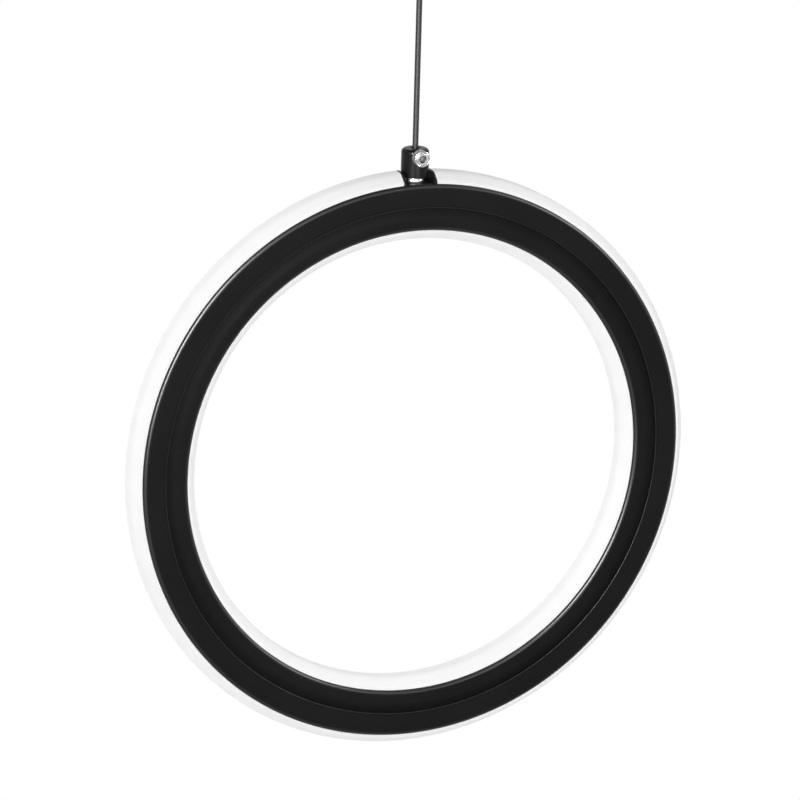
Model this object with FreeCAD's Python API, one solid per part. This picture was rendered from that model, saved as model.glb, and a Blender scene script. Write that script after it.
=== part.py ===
import FreeCAD, Part
import math
import os
from FreeCAD import Vector

# LED ring pendant light. Millimetres, +Z up, origin on the ceiling at the canopy's centre.
# The ring hangs with its axis along Y and its front towards -Y.

# Shared fits
seat_gap = 0.05
run_gap = 0.05
hole_gap = 0.1

# Ring section: an aluminium channel between two covers, with a diffuser on each side
ring_mid_r = 88.65
body_depth = 12.0
channel_width = 5.4
carrier_wall = 1.5
carrier_base = 1.2

# Covers
cover_wall = 1.5
cover_proud = 1.0
cover_edge_r = 1.2
skirt_wall = 1.35
skirt_drop = 0.7
groove_slope = 3.3
groove_soft_r = 12.0
groove_floor = 0.15
groove_steep = 0.1
groove_lip_r = 0.15
groove_depth = 0.5

# Diffusers
outer_overhang = 3.55
inner_overhang = 3.75
body_crown = 5.2
body_crown_r = 4.0
body_flank = 0.85
body_flank_r = 1.5
diffuser_wall = 2.4
arm_wall = 1.75
lip_wall = 1.1

# Caps on the ends of the outer diffuser, on both sides of the grip
cap_wall = 0.9
cap_clear = 0.35
plug_length = 1.5
plug_gap = 0.2

# LED strips
strip_width = 8.0
strip_thick = 0.3
strip_glue = 0.15
led_length = 3.5
led_width = 2.8
led_height = 0.7
led_clear = 0.1
outer_led_count = 46
inner_led_count = 46
strip_end_angle = 4.5
first_led_angle = 7.0
wire_r = 0.4
link_angle = 8.5

# Cover screws and the pillars that take them
pillar_count = 6
pillar_gap = 0.5
cover_screw_r = 1.25
cover_screw_head_r = 2.35
cover_screw_length = 8.0
countersink_gap = 0.05
recess_r = 0.7
recess_depth = 0.7

# Bridge and hanger stud
bridge_drop = 0.6
bridge_edge_r = 0.4
stud_r = 2.5
stud_bore_r = 1.5
stud_tail = 0.4
collar_foot = 0.3
collar_belly = 0.75
collar_top = 0.4
collar_belly_height = 0.9
collar_round_r = 0.6
collar_height = 2.2
nut_flats = 8.0
nut_height = 2.7
nut_room = 0.3

# Cord and the angle that it may bend to at its two ends
cord_r = 1.0
cord_free_length = 60.0
bend_angle = 22.0
mouth_gap = 0.3
mouth_drop = 0.8

# Clamp screws, one in the grip and one in the gland
clamp_screw_r = 1.5
clamp_head_r = 2.75
clamp_head_height = 3.0
clamp_head_edge = 0.35
clamp_socket_flats = 2.5
clamp_socket_depth = 1.6
spot_depth = 0.5
spot_gap = 0.15

# Grip on top of the ring
grip_r = 4.7
grip_edge_r = 1.4
stud_grip_length = 4.9
stud_to_screw = 0.8
screw_to_top = 2.4

# LED driver in the canopy
driver_length = 60.0
driver_width = 26.0
driver_height = 20.0
driver_lid_height = 3.0
driver_edge_r = 2.0
driver_side = 10.0
driver_room = 1.94
driver_headroom = 8.0
tape_thick = 0.8
tape_inset = 4.0

# Canopy
canopy_wall = 1.2
canopy_edge_r = 5.0

# Gland in the canopy's floor
gland_r = 6.0
gland_edge_r = 1.0
gland_screw_height = 5.5
gland_body_height = 12.0
gland_thread_r = 4.0
gland_thread_length = 5.5
gland_nut_flats = 11.0
gland_nut_height = 3.0
cord_tail_rise = 7.8

# Ceiling bracket and the canopy's side screws
bar_width = 16.0
bar_thick = 1.5
bar_bend_r = 2.2
ear_drop = 15.0
ear_gap = 0.15
slot_spacing = 60.0
slot_width = 5.0
slot_length = 12.0
side_screw_r = 2.0
side_screw_drop = 9.0
side_screw_length = 7.0
side_head_r = 3.5
side_head_height = 2.4

# Terminal block under the bracket
block_length = 22.0
block_depth = 16.0
block_height = 11.0
block_screw_r = 1.5
block_head_r = 2.8
block_head_height = 1.6
pole_count = 3
pole_spacing = 7.0
pole_bore_r = 1.4
pole_bore_reach = 2.8
pole_screw_r = 1.2
pole_screw_offset = 4.8
pole_screw_rise = 0.6
input_lead_drop = 2.0
input_lead_spacing = 5.0
lead_spacing = 1.2
lead_bend_r = 1.5

# Slots for a screwdriver in the plain screws
driver_slot_width = 0.6
driver_slot_depth = 0.6

# Sizes that follow
half_depth = body_depth / 2
face_y = half_depth + cover_proud
inside_y = face_y - cover_wall
skirt_y = inside_y - skirt_drop
arm_y = skirt_y - seat_gap - arm_wall
lip_y = inside_y - seat_gap

strip_room = strip_glue + strip_thick + led_height + led_clear
carrier_outer_r = ring_mid_r + channel_width / 2 + carrier_wall
carrier_inner_r = ring_mid_r - channel_width / 2 - carrier_wall
channel_outer_r = carrier_outer_r - carrier_wall
channel_inner_r = carrier_inner_r + carrier_wall
outer_strip_r = carrier_outer_r + strip_glue
inner_strip_r = carrier_inner_r - strip_glue - strip_thick
outer_lip_r = carrier_outer_r + strip_room + lip_wall
inner_lip_r = carrier_inner_r - strip_room - lip_wall
outer_skirt_r = outer_lip_r + seat_gap
inner_skirt_r = inner_lip_r - seat_gap
cover_outer_r = outer_skirt_r + skirt_wall
cover_inner_r = inner_skirt_r - skirt_wall
ring_outer_r = cover_outer_r + outer_overhang
ring_inner_r = cover_inner_r - inner_overhang
pillar_r = channel_width / 2 - pillar_gap
bridge_top_r = cover_outer_r - bridge_drop
bridge_half = grip_r + cap_clear + cap_wall
nut_corner_r = nut_flats / math.sqrt(3)

grip_screw_height = stud_grip_length + stud_to_screw + clamp_screw_r
grip_height = grip_screw_height + screw_to_top
bend = math.radians(bend_angle)
mouth_r = cord_r / math.cos(bend) + mouth_drop * math.tan(bend) + mouth_gap
cord_bore_r = cord_r + hole_gap

canopy_inner_r = math.hypot(driver_length / 2, driver_side + driver_width) + driver_room
canopy_r = canopy_inner_r + canopy_wall
canopy_height = canopy_wall + tape_thick + driver_height + driver_headroom
floor_z = canopy_wall - canopy_height
gland_z = -canopy_height - gland_body_height
grip_top_z = gland_z - cord_free_length
grip_z = grip_top_z - grip_height
collar_z = grip_z - run_gap - collar_height
ring_z = collar_z - bridge_top_r
gland_bend_z = gland_z + mouth_drop
grip_bend_z = grip_top_z - mouth_drop
block_z = -bar_thick - block_height
ear_x = math.sqrt(canopy_inner_r ** 2 - (bar_width / 2) ** 2) - ear_gap

x_axis = Vector(1, 0, 0)
y_axis = Vector(0, 1, 0)
z_axis = Vector(0, 0, 1)
ring_centre = Vector(0, 0, ring_z)


# A point of the ring's section, drawn at the top of the ring
def ring_place(radius, depth):
    return Vector(0, depth, ring_z + radius)


# A point of a section that turns about the cord
def cord_place(radius, height):
    return Vector(radius, 0, height)


# A closed outline through (u, v, corner radius), straight between its rounded corners
def outline(corners, place):
    bends = []
    for i, (u, v, radius) in enumerate(corners):
        here = Vector(u, v, 0)
        before = Vector(*corners[i - 1][:2], 0) - here
        after = Vector(*corners[(i + 1) % len(corners)][:2], 0) - here
        before.normalize()
        after.normalize()
        if radius == 0:
            bends.append((here, None, here))
            continue
        half = before.getAngle(after) / 2
        inward = (before + after).normalize()
        reach = radius / math.tan(half)
        middle = here + inward * (radius / math.sin(half) - radius)
        bends.append((here + before * reach, middle, here + after * reach))
    edges = []
    for i, (start, middle, end) in enumerate(bends):
        if middle:
            points = [place(p.x, p.y) for p in (start, middle, end)]
            edges.append(Part.Arc(*points).toShape())
        following = bends[(i + 1) % len(bends)][0]
        edges.append(Part.LineSegment(place(end.x, end.y), place(following.x, following.y)).toShape())
    return Part.Wire(edges)


def ring_turned(corners, start=0, sweep=360):
    face = Part.Face(outline(corners, ring_place))
    face.rotate(ring_centre, y_axis, start)
    return face.revolve(ring_centre, y_axis, sweep)


def cord_turned(corners):
    face = Part.Face(outline(corners, cord_place))
    return face.revolve(Vector(0, 0, 0), z_axis, 360)


# The same corners on both sides of the ring's middle plane
def both_sides(half):
    return half + [(radius, -depth, corner) for radius, depth, corner in reversed(half)]


def hexagon(flats, height, base, axis):
    radius = flats / math.sqrt(3)
    points = [Vector(radius * math.cos(a), radius * math.sin(a), 0)
              for a in (math.radians(60 * i) for i in range(7))]
    solid = Part.Face(Part.makePolygon(points)).extrude(Vector(0, 0, height))
    solid.Placement = FreeCAD.Placement(base, FreeCAD.Rotation(z_axis, axis))
    return solid


# Copies round the ring's axis, at angles counted from its top
def round_ring(solid, angles):
    copies = []
    for angle in angles:
        copy = solid.copy()
        copy.rotate(ring_centre, y_axis, angle)
        copies.append(copy)
    return copies


def pillar_angles():
    step = 360 / pillar_count
    return [(i + 0.5) * step for i in range(pillar_count)]


def radial_hole(radius, low_r, high_r, angle):
    hole = Part.makeCylinder(radius, high_r - low_r, ring_place(low_r, 0), z_axis)
    hole.rotate(ring_centre, y_axis, angle)
    return hole


# A wire of straight runs, bent round at its corners
def wire(points, bend_r):
    edges = []
    start = points[0]
    for before, here, after in zip(points, points[1:], points[2:]):
        back = (before - here).normalize()
        on = (after - here).normalize()
        half = back.getAngle(on) / 2
        inward = (back + on).normalize()
        reach = bend_r / math.tan(half)
        middle = here + inward * (bend_r / math.sin(half) - bend_r)
        edges.append(Part.LineSegment(start, here + back * reach).toShape())
        edges.append(Part.Arc(here + back * reach, middle, here + on * reach).toShape())
        start = here + on * reach
    edges.append(Part.LineSegment(start, points[-1]).toShape())
    section = Part.Wire(Part.makeCircle(wire_r, points[0], points[1] - points[0]))
    return Part.Wire(edges).makePipeShell([section], True, False)


# Channel-shaped cover with rounded edges; half way across, its face dips by a long slope
# from the inner side to a fine step
def cover(side):
    groove_y = face_y - groove_depth
    floor_r = ring_mid_r - groove_steep - groove_floor
    corners = [
        (cover_inner_r, face_y, cover_edge_r),
        (floor_r - groove_slope, face_y, groove_soft_r),
        (floor_r, groove_y, 0),
        (floor_r + groove_floor, groove_y, 0),
        (ring_mid_r, face_y, groove_lip_r),
        (cover_outer_r, face_y, cover_edge_r),
        (cover_outer_r, skirt_y, 0),
        (outer_skirt_r, skirt_y, 0),
        (outer_skirt_r, inside_y, 0),
        (inner_skirt_r, inside_y, 0),
        (inner_skirt_r, skirt_y, 0),
        (cover_inner_r, skirt_y, 0),
    ]
    return ring_turned([(radius, side * depth, corner) for radius, depth, corner in corners])


def front_cover():
    return cover(-1)


# Countersunk form of a cover screw, larger all round by the gap
def cover_screw_form(gap, length):
    head_r = cover_screw_head_r + gap
    shank_r = cover_screw_r + gap
    head_base = ring_place(ring_mid_r, face_y - groove_depth)
    cone_height = cover_screw_head_r - cover_screw_r
    cone = Part.makeCone(head_r, shank_r, cone_height, head_base, -y_axis)
    shank = Part.makeCylinder(shank_r, length, head_base, -y_axis)
    return cone.fuse(shank)


# The screw heads sit level with the bottom of the groove, under a plain counterbore
def back_cover():
    seat = ring_place(ring_mid_r, face_y - groove_depth)
    mouth = Part.makeCylinder(cover_screw_head_r + countersink_gap, 2 * groove_depth, seat, y_axis)
    hole = mouth.fuse(cover_screw_form(countersink_gap, cover_screw_length))
    return cover(1).cut(round_ring(hole, pillar_angles()))


def cover_screws():
    recess = Part.makeCylinder(recess_r, recess_depth, ring_place(ring_mid_r, face_y - groove_depth), -y_axis)
    screw = cover_screw_form(0, cover_screw_length).cut(recess)
    return Part.makeCompound(round_ring(screw, pillar_angles()))


# Tapped posts between the covers
def pillars():
    post = Part.makeCylinder(pillar_r, 2 * inside_y, ring_place(ring_mid_r, -inside_y), y_axis)
    tapped = post.cut(cover_screw_form(run_gap, cover_screw_length + hole_gap))
    return Part.makeCompound(round_ring(tapped, pillar_angles()))


# Channel open to the back, which carries a strip on each wall
def carrier_ring():
    base_y = carrier_base - inside_y
    channel = ring_turned([
        (carrier_inner_r, -inside_y, 0),
        (carrier_outer_r, -inside_y, 0),
        (carrier_outer_r, inside_y, 0),
        (channel_outer_r, inside_y, 0),
        (channel_outer_r, base_y, 0),
        (channel_inner_r, base_y, 0),
        (channel_inner_r, inside_y, 0),
        (carrier_inner_r, inside_y, 0),
    ])
    post = Part.makeCylinder(pillar_r + hole_gap, carrier_base, ring_place(ring_mid_r, -inside_y), y_axis)
    holes = round_ring(post, pillar_angles())
    holes.append(radial_hole(stud_r + seat_gap, ring_mid_r, ring_outer_r, 0))
    nut_foot = nut_seat_z() - nut_height - nut_room
    holes.append(Part.makeCylinder(nut_corner_r + nut_room, nut_height + nut_room, Vector(0, 0, nut_foot)))
    for side in (-1, 1):
        holes.append(radial_hole(wire_r + hole_gap, ring_inner_r, ring_outer_r, side * link_angle))
        lead_foot = Vector(side * lead_x(), 0, ring_z + ring_mid_r)
        holes.append(Part.makeCylinder(wire_r + hole_gap, ring_outer_r, lead_foot))
    return channel.cut(holes)


# Where the flat nut meets the curved wall above it
def nut_seat_z():
    return ring_z + math.sqrt(channel_outer_r ** 2 - nut_corner_r ** 2)


# A ring lead comes up to the outer strip just inside the strip's end
def lead_x():
    return carrier_outer_r * math.sin(math.radians(first_led_angle + strip_end_angle) / 2)


# Half of a diffuser's outside: from the crown down a flank to the edge of the cover
def bow(edge_r, cover_r, way):
    foot_r = cover_r + way * seat_gap
    return [
        (edge_r, body_crown / 2, body_crown_r),
        (foot_r + way * body_flank, half_depth, body_flank_r),
        (foot_r, half_depth, 0),
        (foot_r, skirt_y - seat_gap, 0),
    ]


# Bowed band with two arms, whose lips hook behind the skirts of the covers
def diffuser(edge_r, cover_r, lip_r, way):
    corners = both_sides(bow(edge_r, cover_r, way) + [
        (lip_r, skirt_y - seat_gap, 0),
        (lip_r, lip_y, 0),
        (lip_r - way * lip_wall, lip_y, 0),
        (lip_r - way * lip_wall, arm_y, 0),
        (edge_r - way * diffuser_wall, arm_y, 0),
    ])
    return ring_turned(corners)


# A block over the upper half of the ring, between two distances from the cord
def top_box(low_x, high_x):
    return Part.makeBox(high_x - low_x, 4 * face_y, 2 * ring_mid_r, Vector(low_x, -2 * face_y, ring_z))


# A turned section's length over the top of the ring
def top_slice(corners, low_x, high_x):
    spread = math.degrees(math.asin(2 * high_x / ring_mid_r))
    return ring_turned(corners, -spread, 2 * spread).common(top_box(low_x, high_x))


def outer_diffuser():
    band = diffuser(ring_outer_r, cover_outer_r, outer_lip_r, 1)
    return band.cut(top_box(-bridge_half - seat_gap, bridge_half + seat_gap))


def inner_diffuser():
    return diffuser(ring_inner_r, cover_inner_r, inner_lip_r, -1)


def strip(low_r):
    half = strip_width / 2
    corners = both_sides([(low_r, half, 0), (low_r + strip_thick, half, 0)])
    return ring_turned(corners, strip_end_angle, 360 - 2 * strip_end_angle)


def outer_strip():
    return strip(outer_strip_r)


def inner_strip():
    return strip(inner_strip_r)


def leds(low_r, count):
    corner = Vector(-led_length / 2, -led_width / 2, ring_z + low_r)
    led = Part.makeBox(led_length, led_width, led_height, corner)
    step = (360 - 2 * first_led_angle) / (count - 1)
    return Part.makeCompound(round_ring(led, [first_led_angle + i * step for i in range(count)]))


def outer_leds():
    return leds(outer_strip_r + strip_thick, outer_led_count)


def inner_leds():
    flat_r = math.sqrt(inner_strip_r ** 2 - (led_length / 2) ** 2)
    return leds(flat_r - led_height, inner_led_count)


# Two bare wires through the channel, from the outer strip to the inner one
def strip_links():
    links = [radial_hole(wire_r, carrier_inner_r, carrier_outer_r - seat_gap, side * link_angle)
             for side in (-1, 1)]
    return Part.makeCompound(links)


# Block in the gap of the outer diffuser, hooked behind the skirts like the diffuser
def bridge():
    low_r = outer_strip_r + strip_thick
    corners = both_sides([
        (bridge_top_r, skirt_y - seat_gap, bridge_edge_r),
        (outer_lip_r, skirt_y - seat_gap, 0),
        (outer_lip_r, lip_y, 0),
        (low_r, lip_y, 0),
    ])
    block = top_slice(corners, -bridge_half, bridge_half)
    return block.cut(radial_hole(stud_r + seat_gap, ring_mid_r, ring_outer_r, 0))


# Plates that stand on the ends of the bridge, level with the diffuser, each with a plug in its hollow
def end_caps():
    foot_r = bridge_top_r + seat_gap
    plate = both_sides(bow(ring_outer_r, cover_outer_r, 1) + [(foot_r, skirt_y - seat_gap, 0)])
    plug_r = ring_outer_r - diffuser_wall - plug_gap
    plug = both_sides([(plug_r, arm_y - plug_gap, 0), (foot_r, arm_y - plug_gap, 0)])
    cap = top_slice(plate, bridge_half - cap_wall, bridge_half)
    cap = cap.fuse(top_slice(plug, bridge_half - cap_wall, bridge_half + plug_length)).removeSplitter()
    return Part.makeCompound([cap, cap.mirror(ring_centre, x_axis)])


# Hollow threaded stud with a bright turned collar that shows under the grip
def hanger_stud():
    foot_z = nut_seat_z() - nut_height - stud_tail
    top_z = grip_z + stud_grip_length
    shank = Part.makeCylinder(stud_r, top_z - foot_z, Vector(0, 0, foot_z))
    collar = cord_turned([
        (stud_bore_r, collar_z, 0),
        (stud_r + collar_foot, collar_z, 0),
        (stud_r + collar_belly, collar_z + collar_belly_height, collar_round_r),
        (stud_r + collar_top, collar_z + collar_height, 0),
        (stud_bore_r, collar_z + collar_height, 0),
    ])
    bore = Part.makeCylinder(stud_bore_r, top_z - foot_z, Vector(0, 0, foot_z))
    return shank.fuse(collar).cut(bore)


def stud_nut():
    foot = Vector(0, 0, nut_seat_z() - nut_height)
    hole = Part.makeCylinder(stud_r + seat_gap, nut_height, foot)
    return hexagon(nut_flats, nut_height, foot, z_axis).cut(hole)


# Two leads from the cord, down through the stud, along the channel and up to the outer strip
def ring_leads():
    top_z = grip_z + stud_grip_length
    low_z = (nut_seat_z() - nut_height - stud_tail + ring_z + channel_inner_r) / 2
    leads = []
    for side in (-1, 1):
        near = side * lead_spacing / 2
        far = side * lead_x()
        strip_z = ring_z + math.sqrt(carrier_outer_r ** 2 - (lead_x() + wire_r) ** 2)
        leads.append(wire([
            Vector(near, 0, top_z),
            Vector(near, 0, low_z),
            Vector(far, 0, low_z),
            Vector(far, 0, strip_z),
        ], lead_bend_r))
    return Part.makeCompound(leads)


# Cap-head clamp screw that points to the front and bears on the cord
def clamp_screw(height, holder_r):
    tip = Vector(0, -cord_bore_r, height)
    head_y = holder_r - spot_depth + seat_gap
    shank = Part.makeCylinder(clamp_screw_r, head_y - cord_bore_r, tip, -y_axis)
    head = Part.makeCylinder(clamp_head_r, clamp_head_height, Vector(0, -head_y, height), -y_axis)
    front_rim = [e for e in head.Edges if abs(e.BoundBox.YMax + head_y + clamp_head_height) < 1e-4]
    head = head.makeFillet(clamp_head_edge, front_rim[:1])
    socket_base = Vector(0, -head_y - clamp_head_height, height)
    return shank.fuse(head).cut(hexagon(clamp_socket_flats, clamp_socket_depth, socket_base, y_axis))


# Cross hole and flat seat of a clamp screw in its holder
def clamp_hole(height, holder_r):
    hole = Part.makeCylinder(clamp_screw_r + run_gap, holder_r, Vector(0, 0, height), -y_axis)
    seat = Vector(0, spot_depth - holder_r, height)
    return hole.fuse(Part.makeCylinder(clamp_head_r + spot_gap, holder_r, seat, -y_axis))


# Short cylinder that turns on the stud, with a flared mouth for the cord
def grip_body():
    socket_z = grip_z + stud_grip_length + hole_gap
    body = cord_turned([
        (stud_r + run_gap, grip_z, 0),
        (grip_r, grip_z, 0),
        (grip_r, grip_top_z, grip_edge_r),
        (mouth_r, grip_top_z, 0),
        (cord_bore_r, grip_bend_z, 0),
        (cord_bore_r, socket_z, 0),
        (stud_r + run_gap, socket_z, 0),
    ])
    return body.cut(clamp_hole(grip_z + grip_screw_height, grip_r))


def grip_screw():
    return clamp_screw(grip_z + grip_screw_height, grip_r)


# The clamped length of cord in the grip
def cord_grip_end():
    foot_z = grip_z + stud_grip_length + seat_gap
    height = grip_bend_z - cord_r - seat_gap - foot_z
    return Part.makeCylinder(cord_r, height, Vector(0, 0, foot_z))


# The free length, rounded where it bends in the two mouths
def pendant_cord():
    length = gland_bend_z - grip_bend_z
    tube = Part.makeCylinder(cord_r, length, Vector(0, 0, grip_bend_z))
    low_end = Part.makeSphere(cord_r, Vector(0, 0, grip_bend_z))
    high_end = Part.makeSphere(cord_r, Vector(0, 0, gland_bend_z))
    print("cord: free length %.1f, straight run %.1f" % (cord_free_length, length))
    return tube.fuse([low_end, high_end]).removeSplitter()


# The length through the gland into the canopy
def cord_canopy_end():
    foot_z = gland_bend_z + cord_r + seat_gap
    return Part.makeCylinder(cord_r, floor_z + cord_tail_rise - foot_z, Vector(0, 0, foot_z))


# Cylinder under the canopy's floor, with a threaded neck through it
def gland_body():
    floor_low = -canopy_height
    neck_z = floor_z + gland_thread_length
    body = cord_turned([
        (mouth_r, gland_z, 0),
        (gland_r, gland_z, gland_edge_r),
        (gland_r, floor_low, 0),
        (gland_thread_r, floor_low, 0),
        (gland_thread_r, neck_z, 0),
        (cord_bore_r, neck_z, 0),
        (cord_bore_r, gland_bend_z, 0),
    ])
    return body.cut(clamp_hole(gland_z + gland_screw_height, gland_r))


def gland_screw():
    return clamp_screw(gland_z + gland_screw_height, gland_r)


def gland_nut():
    foot = Vector(0, 0, floor_z)
    hole = Part.makeCylinder(gland_thread_r + seat_gap, gland_nut_height, foot)
    return hexagon(gland_nut_flats, gland_nut_height, foot, z_axis).cut(hole)


# Pressed dish, open to the ceiling
def canopy():
    dish = cord_turned([
        (gland_thread_r + seat_gap, -canopy_height, 0),
        (canopy_r, -canopy_height, canopy_edge_r),
        (canopy_r, 0, 0),
        (canopy_inner_r, 0, 0),
        (canopy_inner_r, floor_z, canopy_edge_r - canopy_wall),
        (gland_thread_r + seat_gap, floor_z, 0),
    ])
    across = Vector(-canopy_r, 0, -side_screw_drop)
    return dish.cut(Part.makeCylinder(side_screw_r + hole_gap, 2 * canopy_r, across, x_axis))


# Bar with bent-down ears; slots take the ceiling screws
def ceiling_bracket():
    corners = [
        (-ear_x, 0, bar_bend_r),
        (ear_x, 0, bar_bend_r),
        (ear_x, -ear_drop, 0),
        (ear_x - bar_thick, -ear_drop, 0),
        (ear_x - bar_thick, -bar_thick, bar_bend_r - bar_thick),
        (bar_thick - ear_x, -bar_thick, bar_bend_r - bar_thick),
        (bar_thick - ear_x, -ear_drop, 0),
        (-ear_x, -ear_drop, 0),
    ]
    section = outline(corners, lambda x, z: Vector(x, -bar_width / 2, z))
    bar = Part.Face(section).extrude(Vector(0, bar_width, 0))
    across = Vector(-canopy_r, 0, -side_screw_drop)
    holes = [Part.makeCylinder(side_screw_r + run_gap, 2 * canopy_r, across, x_axis)]
    holes.append(Part.makeCylinder(block_screw_r + run_gap, bar_thick, Vector(0, 0, -bar_thick)))
    for side in (-1, 1):
        holes.append(slot(side * slot_spacing / 2))
    return bar.cut(holes)


def slot(x):
    straight = slot_length - slot_width
    corner = Vector(x - straight / 2, -slot_width / 2, -bar_thick)
    middle = Part.makeBox(straight, slot_width, bar_thick, corner)
    ends = [Part.makeCylinder(slot_width / 2, bar_thick, Vector(x + end * straight / 2, 0, -bar_thick))
            for end in (-1, 1)]
    return middle.fuse(ends)


# A slot across the outer end of a screw
def driver_slot(screw_r, end, inward):
    bar = Part.makeBox(2 * screw_r, driver_slot_width, driver_slot_depth,
                       Vector(-screw_r, -driver_slot_width / 2, 0))
    bar.Placement = FreeCAD.Placement(end, FreeCAD.Rotation(z_axis, inward))
    return bar


def canopy_screws():
    screws = []
    for side in (-1, 1):
        out = Vector(side, 0, 0)
        head_base = Vector(side * (canopy_r + seat_gap), 0, -side_screw_drop)
        head = Part.makeCylinder(side_head_r, side_head_height, head_base, out)
        shank = Part.makeCylinder(side_screw_r, side_screw_length, head_base, -out)
        slot_cut = driver_slot(side_head_r, head_base + out * side_head_height, -out)
        screws.append(head.fuse(shank).cut(slot_cut))
    return Part.makeCompound(screws)


def driver_block(low_z, height):
    corner = Vector(-driver_length / 2, driver_side, low_z)
    block = Part.makeBox(driver_length, driver_width, height, corner)
    uprights = [e for e in block.Edges if abs(e.tangentAt(e.FirstParameter).z) > 0.99]
    return block.makeFillet(driver_edge_r, uprights)


def driver_case():
    return driver_block(floor_z + tape_thick, driver_height - driver_lid_height)


def driver_lid():
    return driver_block(floor_z + tape_thick + driver_height - driver_lid_height, driver_lid_height)


def driver_tape():
    corner = Vector(tape_inset - driver_length / 2, driver_side + tape_inset, floor_z)
    return Part.makeBox(driver_length - 2 * tape_inset, driver_width - 2 * tape_inset, tape_thick, corner)


# The clamping screws stand in a row in front of the fixing screw
def pole_places():
    return [((i - (pole_count - 1) / 2) * pole_spacing, -pole_screw_offset) for i in range(pole_count)]


# Wire entries to the front, clamping screws from below, one fixing screw up into the bar
def terminal_block():
    front_y = -block_depth / 2
    corner = Vector(-block_length / 2, front_y, block_z)
    block = Part.makeBox(block_length, block_depth, block_height, corner)
    middle_z = block_z + block_height / 2
    holes = [Part.makeCylinder(block_screw_r + hole_gap, block_height, Vector(0, 0, block_z))]
    for x, y in pole_places():
        bore_depth = y + pole_bore_reach - front_y
        holes.append(Part.makeCylinder(pole_bore_r, bore_depth, Vector(x, front_y, middle_z), y_axis))
        holes.append(Part.makeCylinder(pole_screw_r + run_gap, block_height / 2, Vector(x, y, block_z)))
    return block.cut(holes)


def terminal_screws():
    foot_z = block_z - pole_screw_rise
    length = block_height / 2 - pole_bore_r + pole_screw_rise
    screws = []
    for x, y in pole_places():
        foot = Vector(x, y, foot_z)
        screw = Part.makeCylinder(pole_screw_r, length, foot)
        screws.append(screw.cut(driver_slot(pole_screw_r, foot, z_axis)))
    return Part.makeCompound(screws)


def block_screw():
    head = Part.makeCylinder(block_head_r, block_head_height, Vector(0, 0, block_z), -z_axis)
    screw = head.fuse(Part.makeCylinder(block_screw_r, -block_z, Vector(0, 0, block_z)))
    return screw.cut(driver_slot(block_head_r, Vector(0, 0, block_z - block_head_height), z_axis))


def driver_input_leads():
    height = -driver_headroom - input_lead_drop
    length = driver_side - block_depth / 2
    leads = []
    for side in (-1, 1):
        foot = Vector(side * input_lead_spacing / 2, block_depth / 2, height)
        leads.append(Part.makeCylinder(wire_r, length, foot, y_axis))
    return Part.makeCompound(leads)


# From the top of the cord across to the driver
def driver_output_leads():
    foot_z = floor_z + cord_tail_rise
    level_z = foot_z + 2 * lead_bend_r
    leads = []
    for side in (-1, 1):
        x = side * lead_spacing / 2
        points = [Vector(x, 0, foot_z), Vector(x, 0, level_z), Vector(x, driver_side, level_z)]
        leads.append(wire(points, lead_bend_r))
    return Part.makeCompound(leads)


def main():
    os.makedirs("parts", exist_ok=True)
    makers = [
        front_cover, back_cover, cover_screws, pillars, carrier_ring, outer_diffuser, inner_diffuser,
        outer_strip, inner_strip, outer_leds, inner_leds, strip_links, bridge, end_caps, hanger_stud,
        stud_nut, ring_leads, grip_body, grip_screw, cord_grip_end, pendant_cord, cord_canopy_end,
        gland_body, gland_screw, gland_nut, canopy, canopy_screws, ceiling_bracket, driver_case,
        driver_lid, driver_tape, terminal_block, terminal_screws, block_screw, driver_input_leads,
        driver_output_leads,
    ]
    for maker in makers:
        shape = maker()
        print("%-20s solids %3d  volume %9.1f  valid %s"
              % (maker.__name__, len(shape.Solids), shape.Volume, shape.isValid()))
        shape.exportStep("parts/%s.step" % maker.__name__)
    print("ring: outer %.1f, inner %.1f, centre at z %.2f" % (ring_outer_r, ring_inner_r, ring_z))


main()
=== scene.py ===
import math
import bpy
import bmesh
from mathutils import Matrix, Vector


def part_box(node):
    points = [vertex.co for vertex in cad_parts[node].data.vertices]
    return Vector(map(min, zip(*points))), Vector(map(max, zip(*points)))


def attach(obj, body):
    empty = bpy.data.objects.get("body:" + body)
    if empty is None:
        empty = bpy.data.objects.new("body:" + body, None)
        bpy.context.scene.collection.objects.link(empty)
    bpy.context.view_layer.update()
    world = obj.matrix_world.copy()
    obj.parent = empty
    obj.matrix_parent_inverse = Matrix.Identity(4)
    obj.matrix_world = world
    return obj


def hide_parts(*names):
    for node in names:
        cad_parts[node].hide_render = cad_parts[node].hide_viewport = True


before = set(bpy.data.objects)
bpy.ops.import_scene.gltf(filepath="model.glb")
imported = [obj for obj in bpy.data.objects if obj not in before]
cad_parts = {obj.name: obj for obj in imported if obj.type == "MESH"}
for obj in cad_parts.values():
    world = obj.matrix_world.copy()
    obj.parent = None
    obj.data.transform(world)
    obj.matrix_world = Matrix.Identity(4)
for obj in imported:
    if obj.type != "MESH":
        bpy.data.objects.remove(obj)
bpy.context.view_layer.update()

# Ring pendant light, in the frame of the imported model. Blender works in metres. The sizes of pieces and
# finishes below are millimetres, those of the floor and lamps are metres, and noise scales are per metre.
mm = 0.001
coverLow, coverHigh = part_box("front_cover")
ringCentre = Vector((0, 0, (coverLow.z + coverHigh.z) / 2))
ontoRing = Matrix.Translation(ringCentre) @ Matrix.Rotation(math.radians(90), 4, "X")
print("frame loaded, ring centre at", tuple(round(v, 5) for v in ringCentre))


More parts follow.
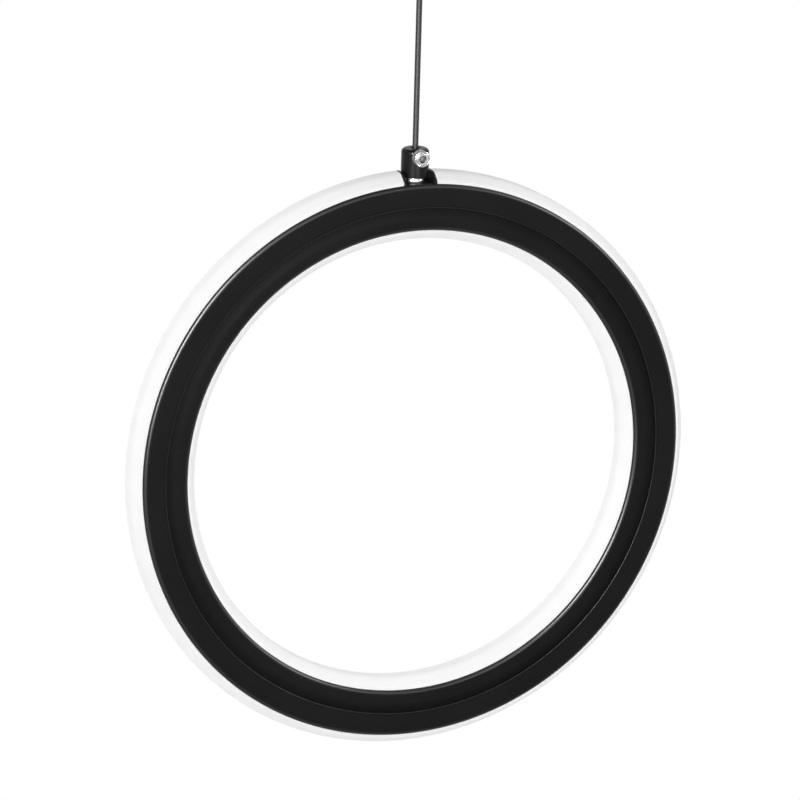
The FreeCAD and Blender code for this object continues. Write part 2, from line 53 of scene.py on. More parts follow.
# one socket of a node tree; sums on it add Math nodes
class Sock:
    def __init__(self, tree, out=None):
        self.tree = tree
        self.out = out

    def node(self, kind, settings=None, values=None, out=0):
        made = self.tree.nodes.new(kind)
        for key, value in (settings or {}).items():
            setattr(made, key, value)
        for key, value in (values or {}).items():
            if isinstance(value, Sock):
                self.tree.links.new(value.out, made.inputs[key])
            else:
                made.inputs[key].default_value = value
        return Sock(self.tree, made.outputs[out])

    def maths(self, operation, other=0.0):
        return self.node("ShaderNodeMath", {"operation": operation}, {0: self, 1: other})

    def __add__(self, other):
        return self.maths("ADD", other)

    def __sub__(self, other):
        return self.maths("SUBTRACT", other)

    def __rsub__(self, other):
        return self.node("ShaderNodeMath", {"operation": "SUBTRACT"}, {0: other, 1: self})

    def __mul__(self, other):
        return self.maths("MULTIPLY", other)

    def __truediv__(self, other):
        return self.maths("DIVIDE", other)

    def __pow__(self, other):
        return self.maths("POWER", other)

    __radd__ = __add__
    __rmul__ = __mul__

    # 0 below low, 1 above high, smooth between
    def smooth(self, low, high):
        return self.node("ShaderNodeMapRange", {"interpolation_type": "SMOOTHSTEP"},
                         {"Value": self, "From Min": low, "From Max": high})

    # the same between two lengths in millimetres
    def smoothMm(self, low, high):
        return self.smooth(low * mm, high * mm)

    def blend(self, first, second):
        return self.node("ShaderNodeMix", {"data_type": "RGBA"}, {0: self, 6: first, 7: second}, 2)


def grey(level):
    return (level, level, level, 1)


# a material with its shader node and its Object coordinates
def newFinish(name, **shader):
    made = bpy.data.materials.new(name)
    made.use_nodes = True
    bsdf = made.node_tree.nodes["Principled BSDF"]
    for key, value in shader.items():
        bsdf.inputs[key.replace("_", " ")].default_value = value
    place = Sock(made.node_tree).node("ShaderNodeTexCoord", out="Object")
    return made, bsdf, place


def feed(bsdf, name, source):
    source.tree.links.new(source.out, bsdf.inputs[name])


def noise(place, scale, detail=2.0, rough=0.5):
    return place.node("ShaderNodeTexNoise", None,
                      {"Vector": place, "Scale": scale, "Detail": detail, "Roughness": rough})


# a noise's swing to both sides of zero
def swing(source, spread):
    return (source - 0.5) * spread


def bump(height, depth):
    return height.node("ShaderNodeBump", None, {"Height": height, "Distance": depth * mm, "Strength": 1.0})


# distance from an axis, the way round it and the way along it, from Object coordinates
def aroundAxis(place, centre, axis):
    moved = place.node("ShaderNodeVectorMath", {"operation": "SUBTRACT"}, {0: place, 1: tuple(centre)})
    parts = [moved.node("ShaderNodeSeparateXYZ", None, {0: moved}, way) for way in "XYZ"]
    along = parts.pop("XYZ".index(axis))
    radius = (parts[0] * parts[0] + parts[1] * parts[1]) ** 0.5
    angle = parts[1].maths("ARCTAN2", parts[0])
    return radius, angle, along


blackCoat = {"shade": 0.0078, "paler": 0.0105, "cloudScale": 38.0, "cloudRange": (0.3, 0.7), "cloudShare": 0.7,
             "rough": 0.36, "roughSpread": 0.10, "cloudRough": 0.03, "specular": 0.04,
             "peelScale": 900.0, "grainScale": 5200.0, "peelShare": 0.75, "peelDepth": 0.012,
             "coatRough": 0.36, "coatIor": 1.42, "edgeFade": 0.4,
             "dipIn": 84.6, "dipOut": 88.55, "dipFade": 1.3, "dipPaintedShade": 0.62}
# the glossier edges of the covers: ring radius, reach and weight of the gloss
coverEdges = ((96.6, 1.4, 0.55), (80.7, 1.4, 0.55), (88.75, 0.2, 0.4))


# satin powder coat: soft orange peel with a finer grain in it; a cover is also glossier near the
# given edges, and painted shade darkens the dipped part of its face
def makeBlackCoat(name, way, edges=()):
    made, bsdf, place = newFinish(name, Specular_IOR_Level=way["specular"], Coat_Weight=0.0,
                                  Coat_Roughness=way["coatRough"], Coat_IOR=way["coatIor"])
    peel = noise(place, way["peelScale"])
    grain = noise(place, way["grainScale"], detail=1.0)
    cloud = noise(place, way["cloudScale"], detail=3.0).smooth(*way["cloudRange"])
    tone = (cloud * way["cloudShare"] + grain * (1 - way["cloudShare"])).blend(
        grey(way["shade"]), grey(way["paler"]))
    feed(bsdf, "Roughness", way["rough"] + swing(peel, way["roughSpread"]) + cloud * way["cloudRough"])
    feed(bsdf, "Normal", bump(peel * way["peelShare"] + grain * (1 - way["peelShare"]), way["peelDepth"]))
    if edges:
        radius, angle, along = aroundAxis(place, ringCentre, "Y")
        near = 0.0
        for edge, reach, weight in edges:
            away = (radius - edge * mm).maths("ABSOLUTE")
            near = (1 - away.smoothMm(reach * (1 - way["edgeFade"]), reach)) * weight + near
        feed(bsdf, "Coat Weight", near)
        # painted shade: the base colour goes darker over the dipped part of the face
        dip = radius.smoothMm(way["dipIn"], way["dipOut"]) * (
            1 - radius.smoothMm(way["dipOut"], way["dipOut"] + way["dipFade"]))
        tone = (dip * way["dipPaintedShade"]).blend(tone, grey(0.0))
    feed(bsdf, "Base Color", tone)
    return made


opal = {"shade": 0.57, "shadeDip": 0.012, "cloudScale": 30.0, "cloudRange": (0.25, 0.75), "glow": 0.41,
        "ledCount": 46, "ledDip": 0.012, "rough": 0.50, "roughSpread": 0.12, "grainScale": 2600.0}


# opal diffuser: even matt white, faintly brighter over each LED
def makeOpal(name, way):
    made, bsdf, place = newFinish(name, Emission_Strength=way["glow"], Specular_IOR_Level=0.0)
    radius, angle, along = aroundAxis(place, ringCentre, "Y")
    cloud = noise(place, way["cloudScale"]).smooth(*way["cloudRange"])
    feed(bsdf, "Base Color", cloud.blend(grey(way["shade"] - way["shadeDip"]), grey(way["shade"])))
    ripple = (angle * float(way["ledCount"])).maths("COSINE")
    glow = ripple * way["ledDip"] + (1 - way["ledDip"])
    feed(bsdf, "Emission Color", glow.blend(grey(0.0), grey(1.0)))
    grain = noise(place, way["grainScale"], detail=1.0)
    feed(bsdf, "Roughness", way["rough"] + swing(grain, way["roughSpread"]))
    return made


metal = {"darker": 0.9, "smearScale": 420.0, "smearRough": 0.6, "smearRange": (0.25, 0.8), "roughSpread": 0.12,
         "grainScale": 1800.0, "grainDepth": 0.0048, "lines": 7000.0, "lineShare": 0.5, "lineGrain": 2400.0,
         "lineDepth": 0.0012, "socketPaintedShade": 0.1, "socketFade": (-0.3, -0.1)}


# plated or turned metal: soft handling marks and a fine grain, or fine lines about a centre;
# painted shade darkens the sockets below a face that looks along Y
def makeMetal(name, shade, rough, tint=(1, 1, 1), centre=None, face=None):
    made, bsdf, place = newFinish(name, Metallic=1.0)
    smear = noise(place, metal["smearScale"], detail=4.0, rough=metal["smearRough"])
    smear = smear.smooth(*metal["smearRange"])
    low = tuple(shade * metal["darker"] * part for part in tint) + (1,)
    high = tuple(shade * part for part in tint) + (1,)
    tone = smear.blend(low, high)
    # painted shade: the base colour goes dark below the face, in the sockets
    if face is not None:
        radius, angle, along = aroundAxis(place, (0, face, 0), "Y")
        tone = along.smoothMm(*metal["socketFade"]).blend(grey(shade * metal["socketPaintedShade"]), tone)
    feed(bsdf, "Base Color", tone)
    feed(bsdf, "Roughness", rough + swing(smear, metal["roughSpread"]))
    if centre is not None:
        radius, angle, along = aroundAxis(place, centre, "Y")
        lines = ((radius + along) * metal["lines"]).maths("SINE") * metal["lineShare"]
        feed(bsdf, "Normal", bump(lines + noise(place, metal["lineGrain"]), metal["lineDepth"]))
    else:
        feed(bsdf, "Normal", bump(noise(place, metal["grainScale"], detail=3.0), metal["grainDepth"]))
    return made


capScrew = {"shade": 0.50, "darker": 0.86, "dark": 0.06, "smearScale": 900.0, "smearRange": (0.25, 0.8),
            "rough": 0.17, "roughSpread": 0.10, "dullRough": 0.2, "faceFade": (0.1, 0.3),
            "grooveIn": 1.95, "grooveOut": 2.3, "grooveFade": 1.06, "grooveDarkAndDull": 0.75,
            "socket": 1.45, "socketRound": 1.02, "socketFade": (0.1, 0.9), "sideMetal": 0.35,
            "knurls": 44, "knurlStep": 0.7, "knurlDepth": 0.06, "knurlFrom": 2.6, "knurlFade": 0.08}


# plated cap-head screw: knurled side, a darker turned groove round its face, and painted shade in its socket
def makeCapScrew(name, way, node):
    made, bsdf, place = newFinish(name, Metallic=1.0)
    low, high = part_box(node)
    radius, angle, along = aroundAxis(place, (0, low.y, (low.z + high.z) / 2), "Y")
    onFace = 1 - along.smoothMm(*way["faceFade"])
    groove = onFace * radius.smoothMm(way["grooveIn"], way["grooveIn"] * way["grooveFade"]) * (
        1 - radius.smoothMm(way["grooveOut"], way["grooveOut"] * way["grooveFade"]))
    socket = along.smoothMm(*way["socketFade"]) * (
        1 - radius.smoothMm(way["socket"], way["socket"] * way["socketRound"]))
    # the darker groove and the painted shade in the socket share one mask with the duller gloss there
    shadeAndDull = (groove * way["grooveDarkAndDull"] + socket).maths("MINIMUM", 1.0)
    smear = noise(place, way["smearScale"], detail=3.0).smooth(*way["smearRange"])
    plated = smear.blend(grey(way["shade"] * way["darker"]), grey(way["shade"]))
    feed(bsdf, "Base Color", shadeAndDull.blend(plated, grey(way["dark"])))
    feed(bsdf, "Roughness", way["rough"] + swing(smear, way["roughSpread"]) + shadeAndDull * way["dullRough"])
    side = radius.smoothMm(way["knurlFrom"], way["knurlFrom"] + way["knurlFade"])
    feed(bsdf, "Metallic", 1 - side * (1 - way["sideMetal"]))
    teeth = angle * float(way["knurls"])
    twist = along * (2 * math.pi / (way["knurlStep"] * mm))
    knurl = (teeth + twist).maths("SINE") * (teeth - twist).maths("SINE")
    feed(bsdf, "Normal", bump(knurl * side - groove, way["knurlDepth"]))
    return made


plastic = {"cloudScale": 60.0, "cloudRange": (0.3, 0.7), "darker": 0.93, "roughSpread": 0.14}


# moulded or extruded plastic: slight clouding and a fine grain
def makePlastic(name, shade, rough, grainScale, depth=0.006, specular=0.4):
    made, bsdf, place = newFinish(name, Specular_IOR_Level=specular)
    cloud = noise(place, plastic["cloudScale"], detail=3.0).smooth(*plastic["cloudRange"])
    grain = noise(place, grainScale)
    low = tuple(part * plastic["darker"] for part in shade) + (1,)
    feed(bsdf, "Base Color", cloud.blend(low, shade + (1,)))
    feed(bsdf, "Roughness", rough + swing(grain, plastic["roughSpread"]))
    feed(bsdf, "Normal", bump(grain, depth))
    return made


leads = {"specular": 0.4, "rough": 0.36, "grainRough": 0.14, "grainScale": 2500.0, "grainDepth": 0.004}


# two insulated wires side by side, told apart by their side of the part
def makeLeads(name, left, right):
    made, bsdf, place = newFinish(name, Specular_IOR_Level=leads["specular"])
    across = place.node("ShaderNodeSeparateXYZ", None, {0: place}, "X")
    feed(bsdf, "Base Color", across.maths("GREATER_THAN", 0.0).blend(left + (1,), right + (1,)))
    grain = noise(place, leads["grainScale"])
    feed(bsdf, "Roughness", leads["rough"] + grain * leads["grainRough"])
    feed(bsdf, "Normal", bump(grain, leads["grainDepth"]))
    return made


strip = {"pads": 46, "padStart": (0.40, 0.44), "padStop": (0.56, 0.60), "padSide": 2.2, "board": 0.82,
         "copper": (0.70, 0.42, 0.22, 1), "rough": 0.42, "padSmoother": 0.12}


# LED strip: white board with copper pads along both its edges
def makeStrip(name, way):
    made, bsdf, place = newFinish(name)
    radius, angle, along = aroundAxis(place, ringCentre, "Y")
    step = (angle * (way["pads"] / (2 * math.pi))).maths("FRACT")
    edge = along.maths("ABSOLUTE").maths("GREATER_THAN", way["padSide"] * mm)
    pad = step.smooth(*way["padStart"]) * (1 - step.smooth(*way["padStop"])) * edge
    feed(bsdf, "Base Color", pad.blend(grey(way["board"]), way["copper"]))
    feed(bsdf, "Metallic", pad)
    feed(bsdf, "Roughness", way["rough"] - pad * way["padSmoother"])
    return made


capCoat = {**blackCoat, "shade": 0.020, "paler": 0.028}
gripCoat = {**blackCoat, "shade": 0.005, "paler": 0.008, "rough": 0.28, "specular": 0.10}
canopyCoat = {**blackCoat, "rough": 0.55}
finishes = {
    "blackCoat": makeBlackCoat("blackCoat", blackCoat),
    "coverCoat": makeBlackCoat("coverCoat", blackCoat, coverEdges),
    "capCoat": makeBlackCoat("capCoat", capCoat),
    "gripCoat": makeBlackCoat("gripCoat", gripCoat),
    "canopyCoat": makeBlackCoat("canopyCoat", canopyCoat),
    "opal": makeOpal("opal", opal),
    "nickel": makeMetal("nickel", 0.74, 0.17),
    "collarNickel": makeMetal("collarNickel", 0.40, 0.40),
    "coverScrew": makeMetal("coverScrew", 0.60, 0.24, face=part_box("cover_screws")[1].y),
    "zinc": makeMetal("zinc", 0.62, 0.34, tint=(0.98, 0.99, 1.0)),
    "aluminium": makeMetal("aluminium", 0.76, 0.36, centre=ringCentre),
    "copper": makeMetal("copper", 0.80, 0.28, tint=(1.0, 0.60, 0.40)),
    "gripScrew": makeCapScrew("gripScrew", capScrew, "grip_screw"),
    "glandScrew": makeCapScrew("glandScrew", capScrew, "gland_screw"),
    "jacket": makePlastic("jacket", (0.016, 0.016, 0.017), 0.42, 1800.0, 0.010, 0.30),
    "phosphor": makePlastic("phosphor", (0.90, 0.74, 0.22), 0.30, 4200.0),
    "whiteCase": makePlastic("whiteCase", (0.80, 0.80, 0.79), 0.46, 2200.0, 0.020),
    "foam": makePlastic("foam", (0.62, 0.62, 0.60), 0.85, 1100.0, 0.12, 0.2),
    "nylon": makePlastic("nylon", (0.82, 0.81, 0.76), 0.40, 1500.0),
    "ringLeads": makeLeads("ringLeads", (0.50, 0.03, 0.025), (0.015, 0.015, 0.016)),
    "driverLeads": makeLeads("driverLeads", (0.16, 0.055, 0.025), (0.03, 0.10, 0.38)),
    "strip": makeStrip("strip", strip),
}
print("finishes made:", len(finishes))

# how finely shapes are faceted, welded and smoothed; angles in degrees
facets = {"round": 384, "cornerAngle": 6.0, "cornerFewest": 4, "sharp": 32.0, "weld": 0.002, "flat": 0.4}


# a closed outline through (out, along, corner radius), with its corners rounded
def outline(corners):
    points = []
    for i, (u, v, radius) in enumerate(corners):
        here = Vector((u, v))
        if not radius:
            points.append(here)
            continue
        back = (Vector(corners[i - 1][:2]) - here).normalized()
        onward = (Vector(corners[(i + 1) % len(corners)][:2]) - here).normalized()
        half = back.angle(onward) / 2
        middle = here + (back + onward).normalized() * (radius / math.sin(half))
        start = here + back * (radius / math.tan(half)) - middle
        stop = here + onward * (radius / math.tan(half)) - middle
        first = math.atan2(start.y, start.x)
        turn = (math.atan2(stop.y, stop.x) - first + math.pi) % (2 * math.pi) - math.pi
        count = max(facets["cornerFewest"], round(abs(math.degrees(turn)) / facets["cornerAngle"]))
        for k in range(count + 1):
            angle = first + turn * k / count
            points.append(middle + Vector((math.cos(angle), math.sin(angle))) * radius)
    area = sum(a.x * b.y - b.x * a.y for a, b in zip(points, points[1:] + points[:1]))
    return points if area > 0 else points[::-1]


def addObject(name, data):
    made = bpy.data.objects.new(name, data)
    bpy.context.scene.collection.objects.link(made)
    return made


def nodeTree(name, inputs):
    tree = bpy.data.node_groups.new(name, "GeometryNodeTree")
    tree.interface.new_socket("Geometry", in_out="INPUT", socket_type="NodeSocketGeometry")
    for label, kind in inputs:
        tree.interface.new_socket(label, in_out="INPUT", socket_type="NodeSocket" + kind)
    tree.interface.new_socket("Geometry", in_out="OUTPUT", socket_type="NodeSocketGeometry")
    entry = tree.nodes.new("NodeGroupInput")
    result = tree.nodes.new("NodeGroupOutput")
    given = {out.name: Sock(tree, out) for out in entry.outputs if out.name}
    return tree, given, result.inputs[0]


# the end of a tree: real geometry in its finish
def finishTree(tree, shape, finish, end):
    solid = shape.node("GeometryNodeRealizeInstances", None, {"Geometry": shape})
    painted = solid.node("GeometryNodeSetMaterial", None, {"Geometry": solid, "Material": finish})
    tree.links.new(painted.out, end)
    return tree


# a closed section carried once round a circle
def makeTurnedTree():
    tree, given, end = nodeTree("turnedSection", [
        ("Path radius", "Float"), ("Steps", "Int"), ("Finish", "Material")])
    start = given["Geometry"]
    path = start.node("GeometryNodeCurvePrimitiveCircle", None,
                      {"Resolution": given["Steps"], "Radius": given["Path radius"]})
    section = start.node("GeometryNodeMeshToCurve", None, {"Mesh": start})
    swept = start.node("GeometryNodeCurveToMesh", None, {"Curve": path, "Profile Curve": section})
    return finishTree(tree, swept, given["Finish"], end)


# one shape repeated round the Z axis
def makeRowTree():
    tree, given, end = nodeTree("roundRow", [
        ("Count", "Int"), ("First angle", "Float"), ("Finish", "Material")])
    start = given["Geometry"]
    points = start.node("GeometryNodePoints", None, {"Count": given["Count"]})
    index = start.node("GeometryNodeInputIndex")
    angle = index * (2 * math.pi) / given["Count"] + given["First angle"]
    turn = start.node("ShaderNodeCombineXYZ", None, {"Z": angle})
    placed = start.node("GeometryNodeInstanceOnPoints", None,
                        {"Points": points, "Instance": start, "Rotation": turn})
    return finishTree(tree, placed, given["Finish"], end)


turnedTree = makeTurnedTree()
rowTree = makeRowTree()


# the object's modifiers made into its plain mesh
def settle(piece):
    bpy.context.view_layer.update()
    shape = bpy.data.meshes.new_from_object(piece.evaluated_get(bpy.context.evaluated_depsgraph_get()))
    old = piece.data
    piece.modifiers.clear()
    piece.data = shape
    bpy.data.meshes.remove(old)
    return piece


def growFrom(piece, tree, values):
    modifier = piece.modifiers.new(tree.name, "NODES")
    modifier.node_group = tree
    names = {item.name: item.identifier for item in tree.interface.items_tree if item.in_out == "INPUT"}
    for label, value in values.items():
        modifier[names[label]] = value
    return settle(piece)


# smooth shading that keeps sharp edges crisp
def smoothOut(piece):
    piece.data.shade_smooth()
    piece.data.set_sharp_from_angle(angle=math.radians(facets["sharp"]))
    return piece


def cutAway(piece, cutter):
    modifier = piece.modifiers.new("cut", "BOOLEAN")
    modifier.operation = "DIFFERENCE"
    modifier.solver = "EXACT"
    modifier.object = cutter
    settle(piece)
    bpy.data.objects.remove(cutter)
    return piece


# a section turned about the ring's axis
def turned(name, corners, finish):
    points = outline(corners)
    pathRadius = sum(p.x for p in points) / len(points)
    loop = [((p.x - pathRadius) * mm, p.y * mm, 0) for p in points]
    mesh = bpy.data.meshes.new(name)
    mesh.from_pydata(loop, [(i, (i + 1) % len(loop)) for i in range(len(loop))], [])
    piece = growFrom(addObject(name, mesh), turnedTree, {
        "Path radius": pathRadius * mm, "Steps": facets["round"], "Finish": finishes[finish]})
    piece.data.transform(ontoRing)
    return piece


def boxMesh(name, low, high):
    mesh = bpy.data.meshes.new(name)
    shape = bmesh.new()
    bmesh.ops.create_cube(shape, size=1.0)
    size = Vector(high) - Vector(low)
    middle = (Vector(high) + Vector(low)) / 2
    place = Matrix.Translation(middle) @ Matrix.Diagonal((*size, 1))
    bmesh.ops.transform(shape, matrix=place, verts=shape.verts)
    shape.to_mesh(mesh)
    shape.free()
    return mesh


def dress(piece, body, node):
    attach(piece, body)
    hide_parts(node)


# the ring's section
ring = {"mid": 88.65, "coverOut": 96.6, "coverIn": 80.7, "skirtOut": 95.25, "skirtIn": 82.05,
        "bodyOut": 100.15, "bodyIn": 76.95, "crown": 5.2, "crownRound": 4.0, "flank": 0.85, "flankRound": 1.5,
        "lipOut": 95.2, "lipIn": 82.1, "lipWall": 1.1, "face": 7.0, "inside": 5.5, "skirt": 4.8, "half": 6.0,
        "lip": 5.45, "arm": 3.0, "wall": 2.4, "gap": 0.05, "edge": 1.2, "stepLip": 0.15, "dipLength": 3.3,
        "dipRound": 12.0, "dipFloor": 0.15, "dipSteep": 0.1, "dipDepth": 0.5}
grooveY = ring["face"] - ring["dipDepth"]


# a cover: its face dips slowly from the inside and steps back up at the middle
def coverCorners(side):
    floorOut = ring["mid"] - ring["dipSteep"]
    floorIn = floorOut - ring["dipFloor"]
    corners = [
        (ring["coverIn"], ring["face"], ring["edge"]),
        (floorIn - ring["dipLength"], ring["face"], ring["dipRound"]),
        (floorIn, grooveY, 0),
        (floorOut, grooveY, 0),
        (ring["mid"], ring["face"], ring["stepLip"]),
        (ring["coverOut"], ring["face"], ring["edge"]),
        (ring["coverOut"], ring["skirt"], 0),
        (ring["skirtOut"], ring["skirt"], 0),
        (ring["skirtOut"], ring["inside"], 0),
        (ring["skirtIn"], ring["inside"], 0),
        (ring["skirtIn"], ring["skirt"], 0),
        (ring["coverIn"], ring["skirt"], 0),
    ]
    return [(u, side * v, r) for u, v, r in corners]


# a diffuser: bowed towards its edge, with lips that hook behind the covers' skirts
def diffuserCorners(edge, coverEdge, lip, way):
    half = [
        (edge, ring["crown"] / 2, ring["crownRound"]),
        (coverEdge + way * (ring["gap"] + ring["flank"]), ring["half"], ring["flankRound"]),
        (coverEdge + way * ring["gap"], ring["half"], 0),
        (coverEdge + way * ring["gap"], ring["skirt"] - ring["gap"], 0),
        (lip, ring["skirt"] - ring["gap"], 0),
        (lip, ring["lip"], 0),
        (lip - way * ring["lipWall"], ring["lip"], 0),
        (lip - way * ring["lipWall"], ring["arm"], 0),
        (edge - way * ring["wall"], ring["arm"], 0),
    ]
    return half + [(u, -v, r) for u, v, r in reversed(half)]


screwHole = {"count": 6, "radius": 2.4, "cone": 1.1, "shank": 1.3, "past": 1.0, "sides": 48}


# the countersunk holes in the groove of the back cover, as closed shapes
def makeScrewHoles():
    turns = [2 * math.pi * side / screwHole["sides"] for side in range(screwHole["sides"])]
    profile = [
        (screwHole["radius"], ring["face"] + screwHole["past"]),
        (screwHole["radius"], grooveY),
        (screwHole["shank"], grooveY - screwHole["cone"]),
        (screwHole["shank"], ring["inside"] - screwHole["past"]),
    ]
    shape = bmesh.new()
    loops = []
    for radius, depth in profile:
        spots = [(ring["mid"] + radius * math.cos(turn), radius * math.sin(turn), -depth) for turn in turns]
        loops.append([shape.verts.new([part * mm for part in spot]) for spot in spots])
    for upper, lower in zip(loops, loops[1:]):
        for side in range(screwHole["sides"]):
            shape.faces.new((upper[side - 1], upper[side], lower[side], lower[side - 1]))
    shape.faces.new(loops[0])
    shape.faces.new(loops[-1])
    bmesh.ops.recalc_face_normals(shape, faces=shape.faces)
    mesh = bpy.data.meshes.new("screwHoles")
    shape.to_mesh(mesh)
    shape.free()
    holes = growFrom(addObject("screwHoles", mesh), rowTree, {
        "Count": screwHole["count"], "First angle": 0.0, "Finish": finishes["blackCoat"]})
    holes.data.transform(ontoRing)
    return holes


bridgeGap = {"deep": 20.0, "inner": 60.0, "outer": 120.0}


# the gap in the outer diffuser, which the bridge and the end caps fill
def makeBridgeGap():
    low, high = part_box("bridge")
    seat = ring["gap"] * mm
    deep, inner, outer = (bridgeGap[key] * mm for key in ("deep", "inner", "outer"))
    return addObject("bridgeGap", boxMesh("bridgeGap", (low.x - seat, -deep, ringCentre.z + inner),
                                          (high.x + seat, deep, ringCentre.z + outer)))


frontCover = turned("frontCover", coverCorners(-1), "coverCoat")
dress(smoothOut(frontCover), "ring", "front_cover")
backCover = turned("backCover", coverCorners(1), "coverCoat")
dress(smoothOut(cutAway(backCover, makeScrewHoles())), "ring", "back_cover")
outerBand = turned("outerDiffuser", diffuserCorners(ring["bodyOut"], ring["coverOut"], ring["lipOut"], 1), "opal")
dress(smoothOut(cutAway(outerBand, makeBridgeGap())), "ring", "outer_diffuser")
innerBand = turned("innerDiffuser", diffuserCorners(ring["bodyIn"], ring["coverIn"], ring["lipIn"], -1), "opal")
dress(smoothOut(innerBand), "ring", "inner_diffuser")
print("ring bands made")


# a CAD node's own shape with welded corners and smooth curves
def polished(name, node, finish, body):
    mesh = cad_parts[node].data.copy()
    mesh.name = name
    shape = bmesh.new()
    shape.from_mesh(mesh)
    bmesh.ops.remove_doubles(shape, verts=shape.verts, dist=facets["weld"] * mm)
    bmesh.ops.dissolve_limit(shape, angle_limit=math.radians(facets["flat"]),
                             verts=shape.verts, edges=shape.edges)
    shape.to_mesh(mesh)
    shape.free()
    mesh.materials.clear()
    mesh.materials.append(finishes[finish])
    piece = smoothOut(addObject(name, mesh))
    weighted = piece.modifiers.new("weighted", "WEIGHTED_NORMAL")
    weighted.keep_sharp = True
    dress(settle(piece), body, node)


polished("bridgeBlock", "bridge", "blackCoat", "ring")
polished("endCaps", "end_caps", "capCoat", "ring")
polished("hangerStud", "hanger_stud", "collarNickel", "ring")
polished("gripBody", "grip_body", "gripCoat", "grip")
polished("gripScrew", "grip_screw", "gripScrew", "grip_screw")
polished("glandBody", "gland_body", "gripCoat", "canopy")
polished("glandScrew", "gland_screw", "glandScrew", "gland_screw")
polished("glandNut", "gland_nut", "nickel", "canopy")
polished("canopyDish", "canopy", "canopyCoat", "canopy")
polished("ceilingBracket", "ceiling_bracket", "zinc", "canopy")
print("turned and formed pieces polished")

# CAD nodes that keep their own shape and only get a finish
carried = {
    "cover_screws": "coverScrew", "pillars": "nickel", "carrier_ring": "aluminium", "outer_strip": "strip",
    "inner_strip": "strip", "outer_leds": "phosphor", "inner_leds": "phosphor", "strip_links": "copper",
    "stud_nut": "nickel", "ring_leads": "ringLeads", "cord_grip_end": "jacket", "cord_canopy_end": "jacket",
    "canopy_screws": "nickel", "driver_case": "whiteCase", "driver_lid": "whiteCase", "driver_tape": "foam",
    "terminal_block": "nylon", "terminal_screws": "nickel", "block_screw": "nickel",
    "driver_input_leads": "driverLeads", "driver_output_leads": "ringLeads",
}
for node, finish in carried.items():
    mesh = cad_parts[node].data
    mesh.materials.clear()
    mesh.materials.append(finishes[finish])
print("carried-over nodes painted:", len(carried))

cord = {"radius": 1.0, "mouthDrop": 0.8, "straight": 12.0, "roundSteps": 6, "alongSteps": 12, "order": 3}


# the cord, taut between the mouths of the grip and the gland
def makeCord():
    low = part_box("grip_body")[1].z - cord["mouthDrop"] * mm
    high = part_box("gland_body")[0].z + cord["mouthDrop"] * mm
    run = cord["straight"] * mm
    curve = bpy.data.curves.new("pendantCord", "CURVE")
    curve.dimensions = "3D"
    curve.bevel_depth = cord["radius"] * mm
    curve.bevel_resolution = cord["roundSteps"]
    curve.resolution_u = cord["alongSteps"]
    curve.use_fill_caps = True
    heights = [low, low + run, (low + high) / 2, high - run, high]
    spline = curve.splines.new("NURBS")
    spline.points.add(len(heights) - 1)
    for point, height in zip(spline.points, heights):
        point.co = (0, 0, height, 1)
    spline.order_u = cord["order"]
    spline.use_endpoint_u = True
    curve.materials.append(finishes["jacket"])
    piece = addObject("pendantCord", curve)
    dress(piece, "cord", "pendant_cord")


makeCord()
print("cord laid")


# 1 for rays that show the background: from the camera, off a gloss or through glass
def seenRays(tree):
    path = tree.nodes.new("ShaderNodeLightPath")
    camera, gloss, glass = (Sock(tree, path.outputs["Is " + kind + " Ray"])
                            for kind in ("Camera", "Glossy", "Transmission"))
    return (camera + gloss + glass).maths("MINIMUM", 1.0)


floorPlan = {"height": -2.50, "size": 16.0, "shade": 0.86, "clear": 0.40, "white": 1.40, "pale": 0.62}


# pale floor, white towards its rim, that keeps the object's shadow
def makeFloor():
    half = floorPlan["size"] / 2
    rim = [(x * half, y * half, floorPlan["height"]) for x, y in ((-1, -1), (1, -1), (1, 1), (-1, 1))]
    mesh = bpy.data.meshes.new("floor")
    mesh.from_pydata(rim, [], [(0, 1, 2, 3)])
    pale = bpy.data.materials.new("paleFloor")
    pale.use_nodes = True
    tree = pale.node_tree
    tree.nodes.clear()
    place = Sock(tree).node("ShaderNodeTexCoord", out="Object")
    radius, angle, along = aroundAxis(place, (0, 0, 0), "Z")
    outward = radius.smooth(floorPlan["clear"], floorPlan["white"])
    mask = (outward * (1 - floorPlan["pale"]) + floorPlan["pale"]) * seenRays(tree)
    matt = place.node("ShaderNodeBsdfDiffuse", None, {"Color": grey(floorPlan["shade"])})
    white = place.node("ShaderNodeEmission", None, {"Color": grey(1.0), "Strength": 1.0})
    both = place.node("ShaderNodeMixShader", None, {0: mask, 1: matt, 2: white})
    tree.links.new(both.out, tree.nodes.new("ShaderNodeOutputMaterial").inputs["Surface"])
    mesh.materials.append(pale)
    addObject("floor", mesh)


room = {"ambient": 0.41, "tilt": 0.6, "brightSide": (-0.91, 0.31, 0.26)}


# white where it is seen; as light it is dimmer, and softer from the right
def makeWorld():
    world = bpy.data.worlds.new("studio")
    bpy.context.scene.world = world
    world.use_nodes = True
    tree = world.node_tree
    tree.nodes.clear()
    ray = Sock(tree).node("ShaderNodeTexCoord", out="Generated")
    lean = ray.node("ShaderNodeVectorMath", {"operation": "DOT_PRODUCT"},
                    {0: ray, 1: room["brightSide"]}, "Value")
    level = (lean * room["tilt"] + 1) * room["ambient"]
    dim = ray.node("ShaderNodeBackground", None, {"Color": grey(1.0), "Strength": level})
    full = ray.node("ShaderNodeBackground", None, {"Color": grey(1.0), "Strength": 1.0})
    both = ray.node("ShaderNodeMixShader", None, {0: seenRays(tree), 1: dim, 2: full})
    tree.links.new(both.out, tree.nodes.new("ShaderNodeOutputWorld").inputs["Surface"])


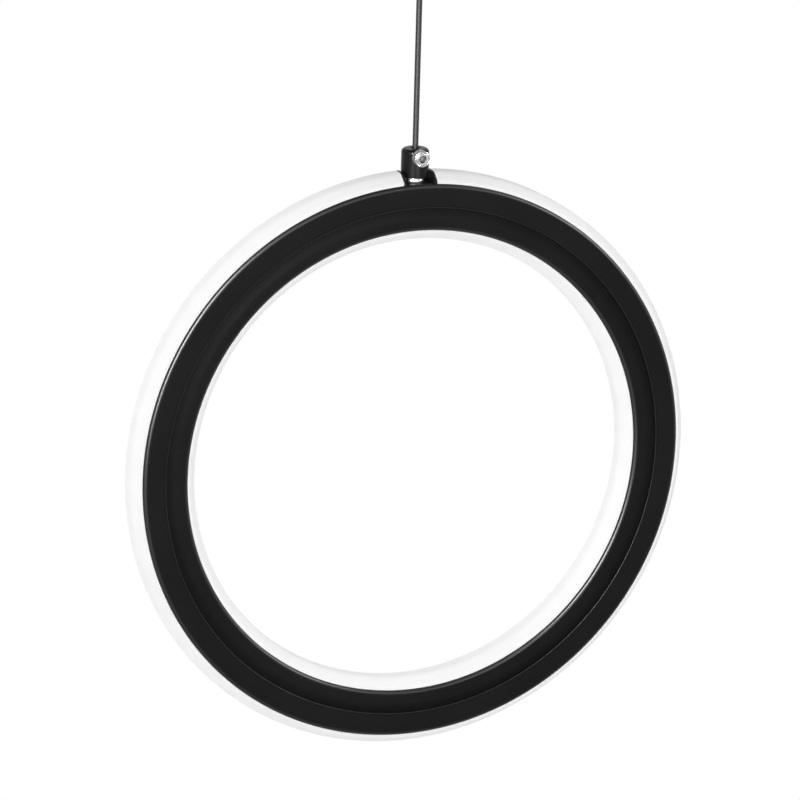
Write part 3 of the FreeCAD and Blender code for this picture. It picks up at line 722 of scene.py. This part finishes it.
# lamps by their place from the ring's centre; the strip and the rim lamp only show in reflections
lamps = {
    "keyLamp": {"from": (-1.45, 0.35, -0.25), "size": (0.50, 1.00), "watts": 8.0, "gloss": False},
    "stripLamp": {"from": (-0.94, -1.20, 0.52), "size": (0.50, 0.85), "watts": 150.0, "diffuse": False},
    "fillLamp": {"from": (0.15, -1.63, 0.05), "size": (0.60, 0.60), "watts": 12.4},
    "rimLamp": {"from": (1.26, -0.72, 0.66), "size": (0.40, 0.50), "watts": 26.0, "diffuse": False},
    "topLamp": {"from": (-0.10, -0.60, 1.20), "size": (0.50, 0.50), "watts": 4.4, "gloss": False},
}


def makeLamps():
    for name, way in lamps.items():
        data = bpy.data.lights.new(name, "AREA")
        data.shape = "RECTANGLE"
        data.size, data.size_y = way["size"]
        data.energy = way["watts"]
        lamp = addObject(name, data)
        lamp.visible_camera = False
        lamp.visible_diffuse = way.get("diffuse", True)
        lamp.visible_glossy = way.get("gloss", True)
        lamp.location = ringCentre + Vector(way["from"])
        lamp.rotation_euler = (ringCentre - lamp.location).to_track_quat("-Z", "Y").to_euler()


makeFloor()
makeWorld()
makeLamps()
print("stage and lamps set")

# camera as in the photograph: angles in degrees, distances in millimetres from the ring's centre
view = {"azimuth": -21.568, "elevation": 15.714, "roll": 1.556, "distance": 2219.0, "aside": -2.310,
        "above": 19.484, "pixelsPerMm": 2.9541, "frame": 800, "sensor": 36.0, "clip": (50.0, 60000.0)}


def makeCamera():
    az, el, roll = (math.radians(view[key]) for key in ("azimuth", "elevation", "roll"))
    back = Vector((math.sin(az) * math.cos(el), -math.cos(az) * math.cos(el), math.sin(el)))
    level = Vector((math.cos(az), math.sin(az), 0))
    upright = back.cross(level)
    right = level * math.cos(roll) + upright * math.sin(roll)
    up = upright * math.cos(roll) - level * math.sin(roll)
    data = bpy.data.cameras.new("camera")
    data.sensor_width = view["sensor"]
    data.lens = view["sensor"] * view["pixelsPerMm"] * view["distance"] / view["frame"]
    data.clip_start, data.clip_end = (reach * mm for reach in view["clip"])
    camera = addObject("camera", data)
    spot = ringCentre + (back * view["distance"] + right * view["aside"] + up * view["above"]) * mm
    turn = Matrix((right, up, back)).transposed().to_4x4()
    camera.matrix_world = Matrix.Translation(spot) @ turn
    bpy.context.scene.camera = camera


makeCamera()
bpy.context.scene.view_settings.view_transform = "Standard"
print("camera set")
